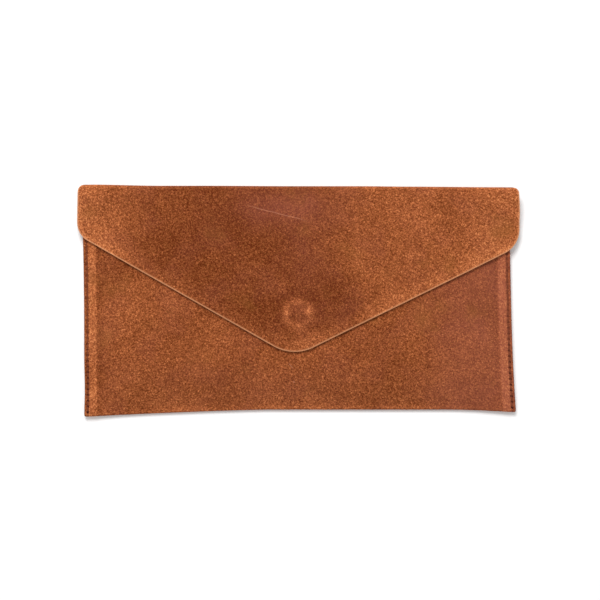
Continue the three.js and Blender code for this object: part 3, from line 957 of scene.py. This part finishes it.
PATCH_RADIUS = (PATCH_HI - PATCH_LO)[0] / 2
patch_section = [
    [0, PATCH_LO[2], 0.001],
    [PATCH_RADIUS, PATCH_LO[2], 0.1],
    [PATCH_RADIUS, PATCH_HI[2], 0.15],
    [0, PATCH_HI[2], 0.001],
]
patch_front = joined("patch_front", [turned(patch_section, step=0.5)])


# ---- materials
def rgb(*screen):
    """A screen colour, 0 to 255, as Blender's linear colour."""
    share = np.array(screen) / 255
    linear = np.where(share <= 0.04045, share / 12.92, ((share + 0.055) / 1.055) ** 2.4)
    return (*linear.tolist(), 1)


class Finish:
    """A material, and short ways to add nodes. An input is a number, a colour or a node's output."""

    def __init__(self, name, **surface):
        self.material = bpy.data.materials.new(name)
        self.material.use_nodes = True
        self.tree = self.material.node_tree
        self.surface = self.tree.nodes["Principled BSDF"]
        for key, value in surface.items():
            socket = key.replace("_", " ").title().replace("Ior", "IOR")
            self.surface.inputs[socket].default_value = value

    def add(self, kind, inputs, output=0, **settings):
        node = self.tree.nodes.new("ShaderNode" + kind)
        for key, value in settings.items():
            setattr(node, key, value)
        for key, value in inputs.items():
            if isinstance(value, bpy.types.NodeSocket):
                self.tree.links.new(value, node.inputs[key])
            else:
                node.inputs[key].default_value = value
        return node.outputs[output]

    def attribute(self, name, output="Vector"):
        return self.add("Attribute", {}, output, attribute_name=name)

    def split(self, vector):
        parts = self.add("SeparateXYZ", {0: vector}).node
        return parts.outputs[0], parts.outputs[1]

    def math(self, operation, a, b=0.0, c=0.0):
        return self.add("Math", {0: a, 1: b, 2: c}, operation=operation)

    def times(self, a, b):
        return self.math("MULTIPLY", a, b)

    def total(self, *terms):
        result = terms[0]
        for term in terms[1:]:
            result = self.math("ADD", result, term)
        return result

    def noise(self, place, size, amount=1.0, detail=2.0, roughness=0.5):
        """Noise about zero whose features are about size millimetres."""
        inputs = {"Vector": place, "Scale": 1 / size, "Detail": detail, "Roughness": roughness}
        return self.math("MULTIPLY_ADD", self.add("TexNoise", inputs), amount, -amount / 2)

    def placed(self, place, scale=(1, 1), turn=0.0, shift=(0, 0, 0)):
        inputs = {"Vector": place, "Location": shift, "Rotation": (0, 0, turn)}
        return self.add("Mapping", {**inputs, "Scale": (*scale, 1)})

    def step(self, value, start, end):
        """0 before start and 1 after end, whichever of them is the higher."""
        inputs = {"Value": value, "From Min": start, "From Max": end}
        return self.add("MapRange", inputs, interpolation_type="SMOOTHSTEP")

    def blend(self, share, a, b):
        return self.add("Mix", {0: share, 6: a, 7: b}, output=2, data_type="RGBA")

    def ramp(self, value, stops):
        node = self.add("ValToRGB", {0: value}).node
        elements = node.color_ramp.elements
        elements[0].position, elements[0].color = stops[0]
        elements[1].position, elements[1].color = stops[-1]
        for position, colour in stops[1:-1]:
            elements.new(position).color = colour
        return node.outputs[0]

    def finish(self, colour, height, depth, strength=1.0):
        """Puts the colour and a bump, depth millimetres deep, on the surface."""
        self.tree.links.new(colour, self.surface.inputs["Base Color"])
        inputs = {"Height": height, "Distance": depth * MM, "Strength": strength}
        self.tree.links.new(self.add("Bump", inputs), self.surface.inputs["Normal"])
        return self.material


SUEDE_STOPS = [
    (0.0, rgb(86, 33, 10)),
    (0.32, rgb(119, 60, 29)),
    (0.5, rgb(140, 76, 42)),
    (0.65, rgb(160, 88, 50)),
    (0.78, rgb(178, 101, 59)),
    (1.0, rgb(214, 135, 84)),
]


BOTTOM_RUN = 140.3  # the rest of what s gains down the back and round the bottom fold
FRONT_S = 2 * FOLD_MIDDLE + BOTTOM_RUN  # s of y = 0 on the front, near its middle

# Faint pale scratches on the hide: middle x and s, length, width and slant of each.
SCRATCHES = [
    (-13, 54.5, 44, 0.4, -0.26),
    (-2.5, FRONT_S - 50.7, 1.3, 0.9, 0.5),
    (-4.4, FRONT_S - 40.5, 5, 0.4, -0.9),
]


def suede(name, lightness=0.0, outside=True):
    """Brushed suede: a short nap, mottled by handling, and pale along its cut edges."""
    f = Finish(name, roughness=1.0, specular_ior_level=0.05)
    place = f.attribute("hide")
    tone = f.attribute("tone", "Fac")
    grain = f.noise(f.placed(place, turn=0.65, shift=(0, 0, 0.37)), 1.0, 1.05, detail=1)
    nap = f.noise(f.placed(place, turn=1.2, shift=(0, 0, 5.2)), 0.55, 1.35, detail=1)
    clouds = f.noise(place, 34, 0.35, detail=3, roughness=0.55)
    brushed = f.noise(f.placed(place, (0.5, 1.0), 0.3), 8, 0.22, detail=3, roughness=0.6)
    value = f.total(f.math("MULTIPLY_ADD", tone, 0.2, 0.4 + lightness), grain, nap, clouds, brushed)
    if outside:
        edge, along = f.split(f.attribute("seam"))
        streaks = f.noise(f.placed(place, (1.0, 0.12)), 0.9, 0.5)
        band = f.times(f.step(edge, 2.6, 3.4), f.step(edge, HEM + 0.5, HEM - 0.3))
        value = f.total(value, f.times(streaks, band))
    colour = f.ramp(value, SUEDE_STOPS)
    mottle = f.step(f.noise(place, 22), -0.1, 0.25)
    rosy = f.math("MULTIPLY_ADD", mottle, 0.3, f.attribute("mauve", "Fac"))
    colour = f.blend(f.times(rosy, 0.35), colour, rgb(150, 82, 70))
    olive = f.step(f.noise(f.placed(place, shift=(90, 40, 0)), 26), 0.06, 0.3)
    colour = f.blend(f.times(olive, 0.4), colour, rgb(128, 78, 34))
    specks = f.step(f.noise(f.placed(place, shift=(30, 0, 9)), 0.9, detail=1), 0.02, 0.3)
    colour = f.blend(f.times(specks, 0.35), colour, rgb(128, 88, 36))
    pale = f.times(f.attribute("cut_edge", "Fac"), 0.7)
    colour = f.blend(pale, colour, rgb(224, 160, 116))
    if outside:
        # Painted shade in the stitch holes and along the stitch line's groove.
        beat = f.math("PINGPONG", along, STITCH_PITCH / 2)
        off = f.math("SUBTRACT", edge, STITCH_INSET)
        squares = f.total(f.times(off, off), f.times(beat, beat))
        hole = f.step(f.math("SQRT", squares), 1.15, 0.6)
        hole = f.times(hole, f.math("MULTIPLY_ADD", f.step(along, 70, 15), 0.5, 0.5))
        line = f.times(f.step(f.math("ABSOLUTE", off), 1.1, 0.3), 0.3)
        colour = f.blend(f.math("MAXIMUM", hole, line), colour, rgb(58, 18, 14))
        for x, s, length, width, turn in SCRATCHES:
            centred = f.add("VectorMath", {0: place, 1: (-x, -s, 0)}, operation="ADD")
            turned_back = {"Vector": centred, "Angle": -turn}
            u, v = f.split(f.add("VectorRotate", turned_back, rotation_type="Z_AXIS"))
            wander = f.noise(place, 9, min(length / 25, 1.6), detail=1)
            v = f.math("ABSOLUTE", f.total(v, wander))
            u = f.math("ABSOLUTE", u)
            mark = f.times(f.step(v, width, width * 0.3), f.step(u, length / 2, length / 4))
            colour = f.blend(f.times(mark, 0.3), colour, rgb(205, 140, 110))
    height = f.times(f.total(grain, nap), 0.3)
    return f.finish(colour, height, depth=0.35, strength=0.7)


YARN = 0.45  # from one yarn to the next but one


def cloth(name, dark, light):
    """Plain weave with slubs along the yarns."""
    f = Finish(name, roughness=0.85, specular_ior_level=0.25, sheen_weight=0.1)
    place = f.attribute("hide")
    x, y = f.split(place)
    warp = f.math("SINE", f.times(x, 2 * math.pi / YARN))
    weft = f.math("SINE", f.times(y, 2 * math.pi / YARN))
    weave = f.times(warp, weft)
    slubs = f.noise(f.placed(place, (1, 0.1)), 0.6, 0.6)
    value = f.total(f.math("MULTIPLY_ADD", weave, 0.18, 0.5), slubs, f.noise(place, 30, 0.3))
    return f.finish(f.blend(value, dark, light), weave, depth=0.08)


def felt(name, dark, light):
    """Bonded fibres, pressed flat."""
    f = Finish(name, roughness=0.95, specular_ior_level=0.2)
    place = f.attribute("hide")
    fibres = f.noise(f.placed(place, (1, 0.25), 0.6), 0.6, detail=4, roughness=0.7)
    value = f.total(f.total(fibres, 0.5), f.noise(place, 6, 0.3))
    return f.finish(f.blend(value, dark, light), fibres, depth=0.15)


def twisted_thread(name, dark, light):
    """The plies cross the thread at a slant."""
    f = Finish(name, roughness=0.8, specular_ior_level=0.1)
    place = f.attribute("hide")
    along, around = f.split(place)
    ply = f.math("SINE", f.math("MULTIPLY_ADD", along, 2 * math.pi / 0.55, around))
    value = f.total(f.math("MULTIPLY_ADD", ply, 0.3, 0.5), f.noise(place, 2.5, 0.6))
    return f.finish(f.blend(value, dark, light), ply, depth=0.06)


RING_SHARE = 0.35
ROUGHNESS = (0.25, 0.55)  # where the plating is clear and where it is cloudy


def metal(name, dark, light):
    """Plated metal with faint turning rings about the snap's axis, cloudy from handling."""
    f = Finish(name, metallic=1.0)
    position = f.add("TexCoord", {}, "Object")
    centred = f.add("VectorMath", {0: position, 1: (-SNAP_X * MM, -SNAP_Y * MM, 0)}, operation="ADD")
    flat = f.add("VectorMath", {0: centred, 1: (1, 1, 0)}, operation="MULTIPLY")
    radius = f.add("VectorMath", {0: flat}, output=1, operation="LENGTH")
    ringed = {"W": f.times(radius, 6 / MM), "Detail": 3.0}
    lines = f.add("TexNoise", ringed, noise_dimensions="1D")
    clouds = f.add("TexNoise", {"Vector": position, "Scale": 1 / (2.5 * MM), "Detail": 3.0})
    value = f.total(f.times(clouds, 1 - RING_SHARE), f.times(lines, RING_SHARE))
    rough = f.math("MULTIPLY_ADD", clouds, ROUGHNESS[1] - ROUGHNESS[0], ROUGHNESS[0])
    f.tree.links.new(rough, f.surface.inputs["Roughness"])
    return f.finish(f.blend(f.step(value, 0.3, 0.7), dark, light), lines, depth=0.01, strength=0.3)


def ferrite(name, dark, light):
    f = Finish(name, roughness=0.55)
    position = f.add("TexCoord", {}, "Object")
    grains = f.add("TexNoise", {"Vector": position, "Scale": 1 / (0.5 * MM), "Detail": 4.0})
    return f.finish(f.blend(grains, dark, light), grains, depth=0.05)


FINISHES = {
    "suede": suede("suede_hide"),
    "facing_suede": suede("suede_facing", lightness=-0.02, outside=False),
    "lining": cloth("lining_cloth", rgb(84, 50, 32), rgb(128, 84, 58)),
    "interlining": felt("buff_felt", rgb(150, 132, 104), rgb(205, 188, 160)),
    "thread": twisted_thread("brown_thread", rgb(92, 42, 26), rgb(150, 84, 58)),
    "snap_metal": metal("brass", rgb(150, 122, 82), rgb(188, 162, 116)),
    "snap_steel": metal("steel", rgb(150, 150, 146), rgb(200, 200, 196)),
    "magnet": ferrite("magnet", rgb(40, 40, 43), rgb(86, 84, 84)),
}


# ---- what each piece is, and rides on
def dress(piece, slot, body, *replaced):
    """Gives a piece the finish of its slot, hides the parts it replaces, and, when its body is one
    name, parents it to that body.

    A body is its name, or for a blended piece two names and the y where the turn starts and ends,
    which are not used.
    """
    piece.data.materials.append(FINISHES[slot])
    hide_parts(*replaced)
    if isinstance(body, str):
        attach(piece, body)
    else:
        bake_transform(piece)


HIDE_BEND = (TOP - 5.5, TOP - 1.1)
FACING_BEND = (TOP - 6.0, TOP - 1.2)
dress(hide_front, "suede", "pouch", "front_panel")
dress(hide_back, "suede", ("pouch", "spine", *HIDE_BEND), "back_panel", "spine_suede")
dress(hide_flap, "suede", ("flap", "spine", *HIDE_BEND), "flap_suede", "spine_suede")
dress(facing_front, "facing_suede", "pouch", "mouth_facing_front")
back_bend, flap_bend = ("pouch", "spine", *FACING_BEND), ("flap", "spine", *FACING_BEND)
dress(facing_back, "facing_suede", back_bend, "mouth_facing_back", "spine_facing")
dress(facing_flap, "facing_suede", flap_bend, "flap_facing", "spine_facing")
dress(stiffener_flap, "interlining", "flap", "flap_interlining")
dress(patch_front, "interlining", "pouch", "front_patch")
dress(cloth_front, "lining", "pouch", "front_lining")
dress(cloth_back, "lining", "pouch", "back_lining")
dress(cloth_slip_pocket, "lining", "pouch", "slip_pocket")
dress(slip_pocket_stitches, "thread", "pouch", "slip_pocket_thread")
for node, row in stitching.items():
    dress(row, "thread", "pouch", node)
dress(socket_cover, "snap_metal", "pouch", "socket_cap")
dress(stud_cover, "snap_metal", "flap", "stud_plate")
dress(stud_post, "snap_metal", "flap", "stud_pin")

kept_nodes = dict.fromkeys(("socket_base", "socket_washer", "stud_washer"), "snap_steel")
for node, slot in {"socket_magnet": "magnet", **kept_nodes}.items():
    materials = bpy.data.objects[node].data.materials
    materials.clear()
    materials.append(FINISHES[slot])

# ---- floor, lamps and camera
FLOOR_HALF = 3  # metres
floor_mesh = bpy.data.meshes.new("floor")
corners = [(x * FLOOR_HALF, y * FLOOR_HALF, 0) for x, y in ((-1, -1), (1, -1), (1, 1), (-1, 1))]
floor_mesh.from_pydata(corners, [], [(0, 1, 2, 3)])
floor = bpy.data.objects.new("floor", floor_mesh)
bpy.context.scene.collection.objects.link(floor)
paper = Finish("paper", base_color=(0.93, 0.93, 0.93, 1), roughness=1.0, specular_ior_level=0.0)
floor.data.materials.append(paper.material)

world = bpy.data.worlds.new("studio")
bpy.context.scene.world = world
world.use_nodes = True
background = world.node_tree.nodes["Background"].inputs
background["Color"].default_value = (1, 1, 1, 1)
background["Strength"].default_value = 0.66

lamp = bpy.data.lights.new("softbox", "AREA")
lamp.energy = 12
lamp.size = 0.5
softbox = bpy.data.objects.new("softbox", lamp)
softbox.location = (-0.15, 0.7, 1.0)
softbox.rotation_euler = (-softbox.location).to_track_quat("-Z", "Y").to_euler()
bpy.context.scene.collection.objects.link(softbox)

LENS, SENSOR = 85, 36
VIEW_WIDTH = 380.1  # millimetres across the picture at the height of the side seams
VIEW_X = 1.3  # x of what the camera looks straight down at
camera = bpy.data.cameras.new("camera")
camera.lens = LENS
camera.sensor_width = SENSOR
eye = bpy.data.objects.new("camera", camera)
eye.location = (VIEW_X * MM, 0, (SEAM_TOP + VIEW_WIDTH * LENS / SENSOR) * MM)
bpy.context.scene.collection.objects.link(eye)
bpy.context.scene.camera = eye
bpy.context.scene.view_settings.view_transform = "Standard"
